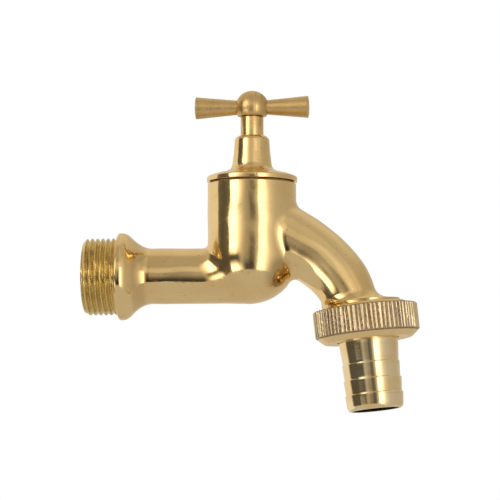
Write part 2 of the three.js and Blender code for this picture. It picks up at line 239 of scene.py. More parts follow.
def turn_on_lathe(
    name: str,
    outline: Outline,
    axis: Axis,
    segments: int,
    shape: Callable[[Points], Points] | None = None,
) -> bpy.types.Object:
    """Turns an outline into a closed shell about an axis.

    Args:
        name: the piece's name.
        outline: its outline, from axis to axis or closed on itself.
        axis: where it lies.
        segments: how many steps the spin takes.
        shape: moves the vertices in the axis's own coordinates, such as for a thread or a knurl.

    Returns:
        The piece, with its place in its mesh.
    """
    piece = draw_outline(name, outline)
    with editing(piece):
        bpy.ops.mesh.spin(steps=segments, angle=TURN, center=(0, 0, 0), axis=(0, 0, 1))
    tidy_shell(piece)
    if shape is not None:
        set_vertices(piece, shape(vertices_of(piece)))
    piece.data.transform(axis.matrix())
    return piece


def smooth_shade(piece: bpy.types.Object, sharp_degrees: float = 32.0) -> None:
    """Shades a piece smooth, with edges sharper than an angle kept crisp."""
    pick(piece)
    bpy.ops.object.shade_smooth_by_angle(angle=math.radians(sharp_degrees))


# ------------------------------------------------------------------------------------------ threads


@dataclass(frozen=True)
class PipeThread:
    """The 3/4 inch parallel pipe thread: 55 degree flanks, rounded crests and roots."""

    crest: float = 13.22
    pitch: float = 1.814
    depth: float = 1.162
    squareness: float = 1.875

    @property
    def root(self) -> float:
        """Gives the root radius."""
        return self.crest - self.depth

    def radius(self, angle: Points, station: Points) -> Points:
        """Gives the thread's radius at each angle and station."""
        phase = np.mod(station / self.pitch - angle / TURN, 1.0)
        ramp = 1.0 - 4.0 * np.abs(phase - 0.5)
        wave = np.tanh(self.squareness * ramp) / math.tanh(self.squareness)
        return self.crest - 0.5 * self.depth * (1.0 + wave)


THREAD = PipeThread()


def smooth_step(value: Points, start: float, end: float) -> Points:
    """Gives 0 before start, 1 after end and an even ease between them."""
    t = np.clip((value - start) / (end - start), 0.0, 1.0)
    return t * t * (3.0 - 2.0 * t)


def polar(points: Points) -> tuple[Points, Points, Points]:
    """Gives each point's radius, angle and station about Z."""
    return np.hypot(points[:, 0], points[:, 1]), np.arctan2(points[:, 1], points[:, 0]), points[:, 2]


def from_polar(radius: Points, angle: Points, station: Points) -> Points:
    """Gives the points at each radius, angle and station about Z."""
    return np.stack([radius * np.cos(angle), radius * np.sin(angle), station], axis=1)


# ------------------------------------------------------------------------------------------ shader maths


class Socket:
    """A shader socket that Python expressions can add, subtract and multiply."""

    def __init__(self, tree: "Finisher", socket: bpy.types.NodeSocket) -> None:
        """Wraps one output socket of a tree."""
        self.tree = tree
        self.socket = socket

    def _math(self, operation: str, *values: Any) -> "Socket":
        """Adds a Math node over some values."""
        return self.tree.add("ShaderNodeMath", {"operation": operation}, dict(enumerate(values)))

    def __add__(self, other: Any) -> "Socket":
        """Adds."""
        return self._math("ADD", self, other)

    __radd__ = __add__

    def __sub__(self, other: Any) -> "Socket":
        """Subtracts."""
        return self._math("SUBTRACT", self, other)

    def __rsub__(self, other: Any) -> "Socket":
        """Subtracts from a number."""
        return self._math("SUBTRACT", other, self)

    def __mul__(self, other: Any) -> "Socket":
        """Multiplies."""
        return self._math("MULTIPLY", self, other)

    __rmul__ = __mul__

    def ramp(self, low: float, high: float, to_low: float = 0.0, to_high: float = 1.0) -> "Socket":
        """Maps low..high to to_low..to_high with a smooth, clamped ease."""
        settings = {"interpolation_type": "SMOOTHSTEP"}
        inputs = {0: self, 1: low, 2: high, 3: to_low, 4: to_high}
        return self.tree.add("ShaderNodeMapRange", settings, inputs)


class Finisher:
    """Builds one material's nodes around a Principled shader."""

    def __init__(self, name: str) -> None:
        """Starts a material with its Principled shader and output."""
        self.material = bpy.data.materials.new(name)
        self.material.use_nodes = True
        self.nodes = self.material.node_tree.nodes
        self.links = self.material.node_tree.links
        self.shader = self.nodes["Principled BSDF"]

    def add(self, kind: str, settings: dict[str, Any], inputs: dict[Any, Any], output: int = 0) -> Socket:
        """Adds a node.

        Args:
            kind: the node's type.
            settings: its own settings, set first.
            inputs: values or sockets for its inputs, by name or number.
            output: which output to give back.

        Returns:
            The chosen output.
        """
        node = self.nodes.new(kind)
        for name, value in settings.items():
            setattr(node, name, value)
        for key, value in inputs.items():
            self.feed(node.inputs[key], value)
        return Socket(self, node.outputs[output])

    def feed(self, target: bpy.types.NodeSocket, value: Any) -> None:
        """Links a socket to an input, or sets the input's own value."""
        if isinstance(value, Socket):
            self.links.new(value.socket, target)
        else:
            target.default_value = value

    def place(self) -> Socket:
        """Gives the object coordinates, in metres."""
        return self.add("ShaderNodeTexCoord", {}, {}, output=3)

    def noise(self, scale: float, detail: float = 2.0, rough: float = 0.5) -> Socket:
        """Gives a 3-D noise, about 0.5, whose features are 1 / scale metres across."""
        inputs = {"Vector": self.place(), "Scale": scale, "Detail": detail, "Roughness": rough}
        return self.add("ShaderNodeTexNoise", {}, inputs)

    def line_noise(self, along: Socket, scale: float, detail: float = 2.0) -> Socket:
        """Gives a noise that changes only along one coordinate."""
        inputs = {"W": along, "Scale": scale, "Detail": detail}
        return self.add("ShaderNodeTexNoise", {"noise_dimensions": "1D"}, inputs)

    def blend(self, factor: Any, first: Any, second: Any) -> Socket:
        """Mixes two colours."""
        inputs = {0: factor, 6: first, 7: second}
        return self.add("ShaderNodeMix", {"data_type": "RGBA"}, inputs, output=2)

    def bump(self, height: Socket, distance: float, normal: Socket | None = None) -> Socket:
        """Gives a normal bent by a height, in metres at full distance."""
        inputs = {"Strength": 1.0, "Distance": distance, "Height": height}
        if normal is not None:
            inputs["Normal"] = normal
        return self.add("ShaderNodeBump", {}, inputs)

    def set(self, **inputs: Any) -> "Finisher":
        """Feeds the shader's inputs, named with underscores for spaces."""
        for name, value in inputs.items():
            self.feed(self.shader.inputs[name.replace("_", " ")], value)
        return self

    def axis_coordinates(self, axis: Axis) -> tuple[Socket, Socket]:
        """Gives the station along an axis and the radius from it, in metres."""
        origin = tuple(value * MM for value in axis.origin)
        offset = self.add("ShaderNodeVectorMath", {"operation": "SUBTRACT"}, {0: self.place(), 1: origin})
        pair = {0: offset, 1: axis.direction}
        along = self.add("ShaderNodeVectorMath", {"operation": "DOT_PRODUCT"}, pair, 1)
        cross = self.add("ShaderNodeVectorMath", {"operation": "CROSS_PRODUCT"}, pair)
        radius = self.add("ShaderNodeVectorMath", {"operation": "LENGTH"}, {0: cross}, 1)
        return along, radius


class Brass(Enum):
    """The brass's colours: fresh metal and its tints, a dull tone used both for tarnish and for painted
    shade, and a near black for painted shade in a bore.
    """

    CLEAN = (0.87, 0.68, 0.36, 1.0)
    WARM = (0.82, 0.61, 0.30, 1.0)
    SATIN = (0.70, 0.515, 0.25, 1.0)
    OCHRE = (0.63, 0.45, 0.20, 1.0)
    PALE = (0.90, 0.79, 0.55, 1.0)
    RAW = (0.74, 0.59, 0.27, 1.0)
    PINK = (0.36, 0.25, 0.19, 1.0)
    # Dull tone: used for pits and tarnish, and also for painted shade.
    DULL = (0.30, 0.21, 0.11, 1.0)
    # Painted shade: near black for the inside of a bore.
    DARK = (0.035, 0.028, 0.018, 1.0)


@dataclass(frozen=True)
class PolishedCasting:
    """Cast brass, hand polished: wide soft waves, faint smears and a few pits; rawer at the inlet thread;
    painted shade at the cone's foot and in the spout's crotch.
    """

    inlet: Axis
    name: str = "polished_brass"
    roughness: float = 0.1
    wave: float = 0.00018
    thread_end: float = 0.0117
    shaded_crotch: tuple[float, float, float] = (0.067, 0.009, 0.001)

    def make(self) -> bpy.types.Material:
        """Builds the material."""
        f = Finisher(self.name)
        along, _ = f.axis_coordinates(self.inlet)
        cast = along.ramp(self.thread_end - 0.0003, self.thread_end + 0.0003)
        waves = f.noise(95.0, 1.0)
        dents = f.noise(310.0, 2.0)
        smears = f.noise(240.0, 4.0, rough=0.6)
        fine = f.noise(2600.0, 2.0)
        pits = f.noise(900.0, 1.0).ramp(0.68, 0.78)
        tint = f.noise(60.0, 3.0).ramp(0.35, 0.65)
        colour = f.blend(tint, Brass.CLEAN.value, Brass.WARM.value)
        colour = f.blend(pits * 0.35, colour, Brass.DULL.value)
        # Painted shade: the brass is darkened in a band at the foot of the inlet cone, in the hollow where it
        # turns into the neck.
        foot = along.ramp(0.0165, 0.0182) * along.ramp(0.0205, 0.0225, 1.0, 0.0) * 0.25
        # Painted shade: the brass is darkened round the crotch between the barrel and the spout, on both
        # sides of the tap.
        mirrored = f.add("ShaderNodeVectorMath", {"operation": "ABSOLUTE"}, {0: f.place()})
        reach = f.add("ShaderNodeVectorMath", {"operation": "DISTANCE"}, {0: mirrored, 1: self.shaded_crotch}, 1)
        shaded_crotch = reach.ramp(0.0025, 0.006, 0.5, 0.0)
        colour = f.blend(foot + shaded_crotch, colour, Brass.DULL.value)
        raw = f.blend(smears.ramp(0.45, 0.7) * 0.45, Brass.RAW.value, Brass.DULL.value)
        colour = f.blend(cast, raw, colour)
        normal = f.bump(waves, self.wave)
        normal = f.bump(dents, 0.00002, normal=normal)
        normal = f.bump(fine - pits * 2.0, 0.000006, normal=normal)
        roughness = smears.ramp(0.35, 0.75, self.roughness - 0.03, self.roughness + 0.09)
        roughness = roughness + (1.0 - cast) * 0.12
        f.set(Base_Color=colour, Roughness=roughness, Normal=normal, Metallic=1.0)
        return f.material


@dataclass(frozen=True)
class TurnedBrass:
    """Brass off the lathe: fine rings round an axis over a base gloss, with painted shade inside a given
    bore.
    """

    name: str
    axis: Axis
    roughness: float = 0.2
    rings: float = 2200.0
    depth: float = 0.00001
    tint: Brass = Brass.CLEAN
    shade: Brass = Brass.WARM
    bore: float = 0.0
    specks: float = 0.000002

    def make(self) -> bpy.types.Material:
        """Builds the material."""
        f = Finisher(self.name)
        along, radius = f.axis_coordinates(self.axis)
        path = along + radius
        coarse = f.line_noise(path, self.rings * 0.35, 2.0)
        fine = f.line_noise(path, self.rings, 3.0)
        patches = f.noise(180.0, 3.0)
        colour = f.blend(patches.ramp(0.3, 0.7), self.tint.value, self.shade.value)
        colour = f.blend(fine.ramp(0.62, 0.8) * 0.22, colour, Brass.DULL.value)
        # Painted shade: inside the given bore radius the brass is painted near black.
        if self.bore > 0.0:
            colour = f.blend(radius.ramp(self.bore, self.bore + 0.0002), Brass.DARK.value, colour)
        normal = f.bump(coarse, self.depth * 2.5)
        normal = f.bump(fine, self.depth, normal=normal)
        specks = f.noise(1500.0, 3.0)
        normal = f.bump(specks, self.specks, normal=normal)
        roughness = fine.ramp(0.3, 0.7, self.roughness * 0.75, self.roughness * 1.35)
        f.set(Base_Color=colour, Roughness=roughness, Normal=normal, Metallic=1.0)
        return f.material


@dataclass(frozen=True)
class KnurledBrass:
    """The union nut's brass: worn bright crests over duller, pinkish grooves."""

    axis: Axis
    name: str = "knurled_brass"
    groove: float = 17.5
    crest: float = 17.84
    plain: tuple[float, float] = (17.0, 17.3)

    def make(self) -> bpy.types.Material:
        """Builds the material."""
        f = Finisher(self.name)
        _, radius = f.axis_coordinates(self.axis)
        worn = radius.ramp(self.groove * MM, self.crest * MM)
        patches = f.noise(220.0, 3.0)
        grit = f.noise(3200.0, 3.0)
        bottom = f.blend(patches.ramp(0.3, 0.7), Brass.PINK.value, Brass.DULL.value)
        inside = radius.ramp(*(value * MM for value in self.plain))
        side = f.blend(worn, bottom, Brass.PALE.value)
        colour = f.blend(inside, Brass.CLEAN.value, side)
        normal = f.bump(grit, 0.00003)
        normal = f.bump(patches, 0.00006, normal=normal)
        roughness = patches.ramp(0.3, 0.7, 0.22, 0.36)
        f.set(Base_Color=colour, Roughness=roughness, Normal=normal, Metallic=1.0)
        return f.material


@dataclass(frozen=True)
class Steel:
    """Plain steel of the hidden stud and ring."""

    name: str = "steel"

    def make(self) -> bpy.types.Material:
        """Builds the material."""
        f = Finisher(self.name)
        grain = f.noise(2400.0, 3.0)
        colour = f.blend(grain.ramp(0.3, 0.7), (0.42, 0.42, 0.41, 1.0), (0.56, 0.56, 0.55, 1.0))
        normal = f.bump(grain, 0.00001)
        f.set(Base_Color=colour, Roughness=grain.ramp(0.3, 0.7, 0.28, 0.42), Normal=normal, Metallic=1.0)
        return f.material


@dataclass(frozen=True)
class Rubber:
    """Black moulded rubber with a bloom of dust."""

    name: str = "black_rubber"

    def make(self) -> bpy.types.Material:
        """Builds the material."""
        f = Finisher(self.name)
        bloom = f.noise(500.0, 4.0)
        grit = f.noise(5200.0, 2.0)
        colour = f.blend(bloom.ramp(0.4, 0.8), (0.014, 0.014, 0.014, 1.0), (0.04, 0.04, 0.038, 1.0))
        normal = f.bump(grit, 0.00003)
        f.set(Base_Color=colour, Roughness=bloom.ramp(0.3, 0.7, 0.55, 0.75), Normal=normal, Metallic=0.0)
        return f.material


@dataclass(frozen=True)
class Fibre:
    """Pressed red sealing fibre, flecked."""

    name: str = "fibre"

    def make(self) -> bpy.types.Material:
        """Builds the material."""
        f = Finisher(self.name)
        flecks = f.noise(3000.0, 4.0)
        colour = f.blend(flecks.ramp(0.35, 0.65), (0.26, 0.15, 0.07, 1.0), (0.36, 0.22, 0.1, 1.0))
        normal = f.bump(flecks, 0.00004)
        f.set(Base_Color=colour, Roughness=flecks.ramp(0.3, 0.7, 0.75, 0.9), Normal=normal, Metallic=0.0)
        return f.material


# ------------------------------------------------------------------------------------------ pieces


def finish_piece(
    piece: bpy.types.Object,
    node: str,
    body: str,
    slot: str,
    material: bpy.types.Material,
) -> bpy.types.Object:
    """Dresses a piece, hides the frame's node that it stands for and puts it on the body that it rides on.

    Args:
        piece: the finished shell.
        node: the frame's node that it replaces.
        body: the body that it moves with.
        slot: not used.
        material: its finish.

    Returns:
        The piece.
    """
    piece.data.materials.clear()
    piece.data.materials.append(material)
    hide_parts(node)
    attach(piece, body)
    LOG.info("%s: %d faces", piece.name, len(piece.data.polygons))
    return piece


def turned_piece(
    node: str,
    outline: Outline,
    axis: Axis,
    segments: int,
    dress: tuple[str, str, bpy.types.Material],
    shape: Callable[[Points], Points] | None = None,
    sharp_degrees: float = 32.0,
) -> bpy.types.Object:
    """Turns, shades and dresses a piece that needs nothing more.

    Args:
        node: the frame's node that it replaces, and its name.
        outline: its outline.
        axis: where it lies.
        segments: how many steps the spin takes.
        dress: the body it moves with, its material slot and its finish.
        shape: moves its vertices, such as for a thread.
        sharp_degrees: the angle above which an edge stays crisp.

    Returns:
        The piece.
    """
    piece = turn_on_lathe(node, outline, axis, segments, shape)
    smooth_shade(piece, sharp_degrees)
    return finish_piece(piece, node, *dress)


@dataclass(frozen=True)
class Layout:
    """The axes that the frame gives, in millimetres."""

    inlet: Axis
    valve: Axis
    handle_height: float
    outlet: Axis

    @classmethod
    def from_frame(cls, frame: dict[str, Any]) -> "Layout":
        """Reads the valve's and the outlet's axes from the frame's joints."""
        joints = {joint["name"]: joint for joint in frame["joints"]}
        turn = joints["handle_turn"]
        union = joints["union_turn"]
        valve_x, _, height = (value / MM for value in turn["pos_m"])
        return cls(
            inlet=Axis((0.0, 0.0, 0.0), (1.0, 0.0, 0.0)),
            valve=Axis((valve_x, 0.0, 0.0), (0.0, 0.0, 1.0)),
            handle_height=height,
            outlet=Axis(tuple(value / MM for value in union["pos_m"]), tuple(union["axis"])),
        )


@dataclass
class CastingForm:
    """The casting's outside: neck, barrel, spout and outlet collar, blended into each other."""

    layout: Layout
    neck_radius: float = 9.5
    neck_end: float = 55.0
    collar_radius: float = 14.9
    cone_start: float = 14.6
    cone_slope: float = 0.98
    barrel_radius: float = 15.15
    ball_height: float = 5.65
    spout_points: tuple[tuple[float, float], ...] = ((64.0, 15.6), (75.8, 10.1), (89.5, 1.9), (91.8, -10.9))
    spout_radii: tuple[float, float] = (11.4, 9.1)
    rim_radius: float = 14.4
    rim_station: float = -0.85
    dome_slope: float = 0.3
    neck_fillets: tuple[float, float] = (2.0, 7.0)
    spout_fillet: float = 3.2
    outlet_fillet: float = 3.8
    cone_easing: float = 3.4
    crest_easing: float = 1.6
    ball_easing: float = 10.0
    wave_height: float = 0.022
    wave_count: int = 9
    spine: Points = field(init=False)
    waves: list[tuple[Points, float]] = field(init=False)

    def __post_init__(self) -> None:
        """Works out the spout's spine and the casting's waves."""
        t = np.linspace(0.0, 1.0, 90)[:, None]
        p = [np.array([x, 0.0, z]) for x, z in self.spout_points]
        u = 1.0 - t
        self.spine = u**3 * p[0] + 3 * u**2 * t * p[1] + 3 * u * t**2 * p[2] + t**3 * p[3]
        golden = math.pi * (3.0 - math.sqrt(5.0))
        self.waves = []
        for i in range(self.wave_count):
            height = 1.0 - 2.0 * (i + 0.5) / self.wave_count
            ring = math.sqrt(1.0 - height * height)
            heading = np.array([ring * math.cos(golden * i), ring * math.sin(golden * i), height])
            self.waves.append((heading * TURN / (9.0 + 1.3 * i), 1.7 * i))

    def neck(self, p: Points) -> tuple[Points, Points]:
        """Gives distance from, and outward direction of, the neck with its cone and collar."""
        beyond = np.maximum(p[:, 0] - self.neck_end, 0.0)
        radius = np.maximum(np.sqrt(p[:, 1] ** 2 + p[:, 2] ** 2 + beyond**2), 1e-6)
        cone = self.collar_radius - (p[:, 0] - self.cone_start) * self.cone_slope
        low, slope_low = smooth_max(cone, np.full_like(cone, self.neck_radius), self.cone_easing)
        outline, keep = smooth_max(-low, np.full_like(cone, -self.collar_radius), self.crest_easing)
        outline = -outline
        slope = -self.cone_slope * slope_low * keep
        scale = 1.0 / np.sqrt(1.0 + slope**2)
        normal = np.stack([beyond / radius - slope, p[:, 1] / radius, p[:, 2] / radius], axis=1)
        return (radius - outline) * scale, normal * scale[:, None]

    def barrel(self, p: Points) -> tuple[Points, Points]:
        """Gives distance from, and outward direction of, the barrel with its ball-shaped foot."""
        offset = p - np.array([self.layout.valve.origin[0], 0.0, self.ball_height])
        below, share = smooth_max(-offset[:, 2], np.zeros(len(p)), self.ball_easing)
        offset[:, 2] = -below
        reach = np.maximum(np.linalg.norm(offset, axis=1), 1e-6)
        normal = offset / reach[:, None]
        normal[:, 2] *= share
        return reach - self.barrel_radius, normal / np.linalg.norm(normal, axis=1)[:, None]

    def spout(self, p: Points) -> tuple[Points, Points]:
        """Gives distance from, and outward direction of, the tapered, bent spout."""
        starts = self.spine[:-1]
        steps = np.diff(self.spine, axis=0)
        lengths = (steps**2).sum(axis=1)
        best = np.full(len(p), np.inf)
        nearest = np.zeros_like(p)
        share = np.zeros(len(p))
        for i, (start, step, length) in enumerate(zip(starts, steps, lengths)):
            t = np.clip(((p - start) @ step) / length, 0.0, 1.0)
            point = start + t[:, None] * step
            gap = ((p - point) ** 2).sum(axis=1)
            closer = gap < best
            best = np.where(closer, gap, best)
            nearest[closer] = point[closer]
            share = np.where(closer, (i + t) / len(steps), share)
        reach = np.maximum(np.sqrt(best), 1e-6)
        radius = self.spout_radii[0] + (self.spout_radii[1] - self.spout_radii[0]) * share
        return reach - radius, (p - nearest) / reach[:, None]

    def collar(self, p: Points) -> tuple[Points, Points]:
        """Gives distance from, and outward direction of, the outlet's collar."""
        q = self.layout.outlet.local(p)
        radius = np.maximum(np.hypot(q[:, 0], q[:, 1]), 1e-6)
        outwards = np.stack([q[:, 0] / radius, q[:, 1] / radius, np.zeros(len(q))], axis=1)
        scale = 1.0 / math.hypot(1.0, self.dome_slope)
        top = (self.rim_station - self.dome_slope * (self.rim_radius - radius) - q[:, 2]) * scale
        upwards = outwards * self.dome_slope * scale
        upwards[:, 2] = -scale
        distance, share = smooth_max(radius - self.rim_radius, top, 1.0)
        normal = outwards * share[:, None] + upwards * (1.0 - share[:, None])
        normal /= np.linalg.norm(normal, axis=1)[:, None]
        return distance, self.layout.outlet.turn_back(normal)

    def ripple(self, p: Points) -> tuple[Points, Points]:
        """Gives the casting's hand-polished unevenness and its gradient."""
        height = np.zeros(len(p))
        gradient = np.zeros_like(p)
        for wave, phase in self.waves:
            swing = p @ wave + phase
            height += self.wave_height * np.sin(swing)
            gradient += self.wave_height * np.cos(swing)[:, None] * wave
        return height, gradient

    def measure(self, p: Points) -> tuple[Points, Points]:
        """Gives each point's distance from the casting's skin and the skin's outward direction."""
        crease, flank = self.neck_fillets
        neck_fillet = flank + (crease - flank) * smooth_step(p[:, 2], 2.0, 9.0)
        shape = blend_shapes(self.neck(p), self.barrel(p), neck_fillet)
        shape = blend_shapes(shape, self.spout(p), self.spout_fillet)
        distance, normal = blend_shapes(shape, self.collar(p), self.outlet_fillet)
        height, gradient = self.ripple(p)
        normal = normal - gradient + normal * (gradient * normal).sum(axis=1)[:, None]
        normal /= np.linalg.norm(normal, axis=1)[:, None]
        return distance - height, normal

    def settle(self, p: Points, rounds: int = 5, reach: float = 2.0) -> Points:
        """Moves the points that lie within reach of the skin onto it."""
        for _ in range(rounds):
            distance, normal = self.measure(p)
            distance[np.abs(distance) > reach] = 0.0
            p = p - normal * distance[:, None]
        return p


def smooth_max(a: Points, b: Points, width: float) -> tuple[Points, Points]:
    """Gives the rounded-off larger of two values, and how far it follows the first."""
    share = np.clip(0.5 + 0.5 * (a - b) / width, 0.0, 1.0)
    return b + (a - b) * share + width * share * (1.0 - share), share


def blend_shapes(
    first: tuple[Points, Points],
    second: tuple[Points, Points],
    fillet: float | Points,
) -> tuple[Points, Points]:
    """Joins two shapes with a fillet that fades where their skins run the same way.

    Args:
        first: distances and outward directions of one shape.
        second: those of the other.
        fillet: the fillet's width where the skins cross squarely.

    Returns:
        Distances and outward directions of the joined shape.
    """
    (d0, n0), (d1, n1) = first, second
    crossing = np.maximum(fillet * np.sqrt(np.clip(1.0 - (n0 * n1).sum(axis=1), 0.0, 1.0)), 1e-4)
    share = np.clip(0.5 + 0.5 * (d1 - d0) / crossing, 0.0, 1.0)
    distance = d1 + (d0 - d1) * share - crossing * share * (1.0 - share)
    normal = n1 + (n0 - n1) * share[:, None]
    return distance, normal / np.maximum(np.linalg.norm(normal, axis=1), 1e-6)[:, None]


@dataclass
class TapBody:
    """The casting, with its inlet and outlet threads and its waterways."""

    layout: Layout
    voxel: float = 0.45
    collar_back: float = 11.8
    barrel_top: float = 31.5
    skin_depth: float = 0.03
    skin_turn: float = 0.8
    outlet_face: float = -0.12
    form: CastingForm = field(init=False)

    def __post_init__(self) -> None:
        """Sets the casting's form from the layout."""
        self.form = CastingForm(self.layout)

    def rough_shell(self) -> bpy.types.Object:
        """Joins the neck, barrel, spout and collar into one rough shell and remeshes it evenly."""
        form = self.form
        rim = form.collar_radius
        core = form.neck_radius
        end = form.neck_end
        neck = [(0.0, 9.5), (rim, 9.5), (rim, 15.4), (core, 21.4), (core, end), (0.0, end)]
        shell = turn_on_lathe("tap_body", neck, self.layout.inlet, 96)
        ball = [
            (form.barrel_radius * math.sin(a), form.ball_height - form.barrel_radius * math.cos(a))
            for a in np.linspace(0.0, math.pi / 2, 17)
        ]
        top = self.barrel_top + 2.0
        upright = [*ball, (form.barrel_radius, top), (0.0, top)]
        barrel = turn_on_lathe("barrel", upright, self.layout.valve, 96)
        edge = form.rim_radius
        collar = [(0.0, -4.6), (5.0, -3.6), (12.5, -1.4), (edge, form.rim_station), (edge, 1.5), (0.0, 1.5)]
        disc = turn_on_lathe("collar", collar, self.layout.outlet, 96)
        pick(shell, barrel, disc, self.swept("spout", *form.spout_radii))
        bpy.ops.object.join()
        apply_modifier(shell, "REMESH", mode="VOXEL", voxel_size=self.voxel * MM, adaptivity=0.0)
        return shell

    def swept(self, name: str, first: float, last: float) -> bpy.types.Object:
        """Sweeps a round bar along the spout's spine, from one radius to another."""
        bpy.ops.curve.primitive_bezier_curve_add(location=(0.0, 0.0, 0.0))
        bar = bpy.context.active_object
        bar.name = name
        p = [Vector((x, 0.0, z)) * MM for x, z in self.form.spout_points]
        start, end = bar.data.splines[0].bezier_points
        for knot, handles in ((start, (2 * p[0] - p[1], p[0], p[1])), (end, (p[2], p[3], 2 * p[3] - p[2]))):
            knot.handle_left_type = knot.handle_right_type = "FREE"
            knot.handle_left, knot.co, knot.handle_right = handles
        start.radius = first
        end.radius = last
        bar.data.resolution_u = 24
        bar.data.bevel_depth = MM
        bar.data.bevel_resolution = 10
        bar.data.use_fill_caps = True
        pick(bar)
        bpy.ops.object.convert(target="MESH")
        bar = bpy.context.active_object
        tidy_shell(bar)
        return bar

    def smooth_skin(self, shell: bpy.types.Object) -> None:
        """Evens out the mesh and settles it onto the casting's form."""
        for _ in range(3):
            apply_modifier(shell, "SMOOTH", factor=0.5, iterations=3)
            set_vertices(shell, self.form.settle(vertices_of(shell)))

    def face_off(
        self,
        shell: bpy.types.Object,
        axis: Axis,
        station: float,
        edge: float,
        rounding: float,
        side: float,
    ) -> None:
        """Faces a rim square to an axis and rounds its edge, as a lathe does.

        Args:
            shell: the closed shell to face.
            axis: the axis to face it about.
            station: where the face lies.
            edge: the rim's radius.
            rounding: the rounding of its edge.
            side: 1 to clear what lies beyond the face, -1 to clear what lies before it.
        """
        cutter = [
            (edge + rounding * (math.sin(a) - 1.0), station + side * rounding * (math.cos(a) - 1.0))
            for a in np.linspace(0.0, math.pi / 2, 9)
        ]
        outside = edge + 3.0
        far = station + side * 6.0
        cutter += [(outside, station - side * rounding), (outside, far), (0.0, far)]
        combine(shell, turn_on_lathe("facing_tool", [(0.0, station), *cutter], axis, 192), "DIFFERENCE")

    def inlet_stub(self) -> bpy.types.Object:
        """Turns the inlet's threaded stub, up to its run-out inside the collar."""
        thread = stepped([(13.12, 0.0), (13.12, 11.5)], 0.135)
        outline = [(0.0, 0.0), (11.0, 0.0), *thread, (13.12, 13.0), (0.0, 13.0)]

        def shape(points: Points) -> Points:
            """Cuts the thread, with a chamfer at its start and a fade at the run-out."""
            radius, angle, station = polar(points)
            cut = THREAD.radius(angle, station)
            cut += (13.0 - cut) * smooth_step(station, 10.4, 11.4)
            cut = np.minimum(cut, THREAD.root - 0.1 + 1.05 * station)
            return from_polar(np.where((radius > 12.0) & (station < 11.45), cut, radius), angle, station)

        return turn_on_lathe("inlet_stub", outline, self.layout.inlet, 192, shape)

    def outlet_stub(self) -> bpy.types.Object:
        """Turns the outlet's threaded stub, from a relief under the collar to its end chamfer."""
        thread = stepped([(13.0, 0.3), (13.0, 5.3)], 0.135)
        outline = [(0.0, -2.0), (12.2, -2.0), (12.2, 0.2), *thread, (11.0, 5.3), (0.0, 5.3)]

        def shape(points: Points) -> Points:
            """Cuts the thread between the relief and the chamfer."""
            radius, angle, station = polar(points)
            cut = 12.2 + (THREAD.radius(angle, station) - 12.2) * smooth_step(station, 0.3, 0.9)
            cut = np.minimum(cut, THREAD.root - 0.1 + 1.05 * (5.3 - station))
            return from_polar(np.where(radius > 12.5, cut, radius), angle, station)

        return turn_on_lathe("outlet_stub", outline, self.layout.outlet, 192, shape)

    def waterways(self) -> bpy.types.Object:
        """Builds the tool that cuts the bores, the chambers and the bonnet's socket."""
        layout = self.layout
        valve = layout.valve
        low = Axis((0.0, 0.0, -1.3), (1.0, 0.0, 0.0))
        inlet = [(0, -1, 0), (8.3, -1, 0), (8.3, 0, 0), (7.3, 1, 0), (7.3, 39, 1.5), (5.6, 42, 0), (0, 42, 0)]
        tool = turn_on_lathe("waterways", rounded(inlet), layout.inlet, 96)
        chamber = rounded([(0, -5.5, 0), (7.6, -5.5, 2), (7.6, 3.5, 1), (0, 3.5, 0)])
        outlet = [(0, -1.5), (6.2, -1.5), (7.9, 0.5), (7.9, 6.5), (0, 6.5)]
        barrel = rounded(
            [
                (0.0, 7.9, 0.0),
                (6.6, 7.9, 0.3),
                (6.6, 8.3, 0.2),
                (7.7, 8.3, 0.2),
                (8.4, 7.5, 0.3),
                (12.2, 7.5, 1.5),
                (12.2, 22.0, 0.0),
                (12.6, 22.0, 0.0),
                (12.6, 30.6, 0.0),
                (14.6, 30.6, 0.0),
                (14.6, 33.0, 0.0),
                (0.0, 33.0, 0.0),
            ]
        )
        parts = [
            turn_on_lathe("passage", [(0, 41), (5.2, 41), (5.2, 57), (0, 57)], low, 64),
            turn_on_lathe("seat_bore", [(0, 2), (6.6, 2), (6.6, 9), (0, 9)], valve, 96),
            turn_on_lathe("low_chamber", chamber, valve, 96),
            turn_on_lathe("high_chamber", barrel, valve, 128),
            self.swept("spout_bore", 6.2, 6.2),
            turn_on_lathe("outlet_bore", outlet, layout.outlet, 96),
        ]
        for part in parts:
            combine(tool, part, "UNION")
        return tool

    def true_normals(self, shell: bpy.types.Object) -> None:
        """Gives the cast skin the exact directions of its form, so that it mirrors cleanly."""
        mesh = shell.data
        corners = np.empty(len(mesh.loops) * 3)
        mesh.corner_normals.foreach_get("vector", corners)
        corners = corners.reshape(-1, 3)
        points = vertices_of(shell)
        distance, normal = self.form.measure(points)
        outlet = self.layout.outlet.local(points)
        skin = (np.abs(distance) < self.skin_depth) & (points[:, 0] > self.collar_back + 0.6)
        skin &= (points[:, 2] < self.barrel_top - 0.2) & (outlet[:, 2] < self.outlet_face - 0.2)
        corner_vertex = np.empty(len(mesh.loops), int)
        mesh.loops.foreach_get("vertex_index", corner_vertex)
        exact = normal[corner_vertex]
        use = skin[corner_vertex] & ((exact * corners).sum(axis=1) > self.skin_turn)
        corners[use] = exact[use]
        mesh.normals_split_custom_set(corners.tolist())

    def build(self, material: bpy.types.Material) -> bpy.types.Object:
        """Builds and dresses the casting."""
        shell = self.rough_shell()
        self.smooth_skin(shell)
        self.face_off(shell, self.layout.inlet, self.collar_back, self.form.collar_radius, 0.65, -1.0)
        self.face_off(shell, self.layout.valve, self.barrel_top, self.form.barrel_radius, 0.25, 1.0)
        self.face_off(shell, self.layout.outlet, self.outlet_face, self.form.rim_radius, 0.25, 1.0)
        combine(shell, self.inlet_stub(), "UNION")
        combine(shell, self.outlet_stub(), "UNION")
        combine(shell, self.waterways(), "DIFFERENCE")
        smooth_shade(shell)
        self.true_normals(shell)
        return finish_piece(shell, "tap_body", "body", "polished_brass", material)


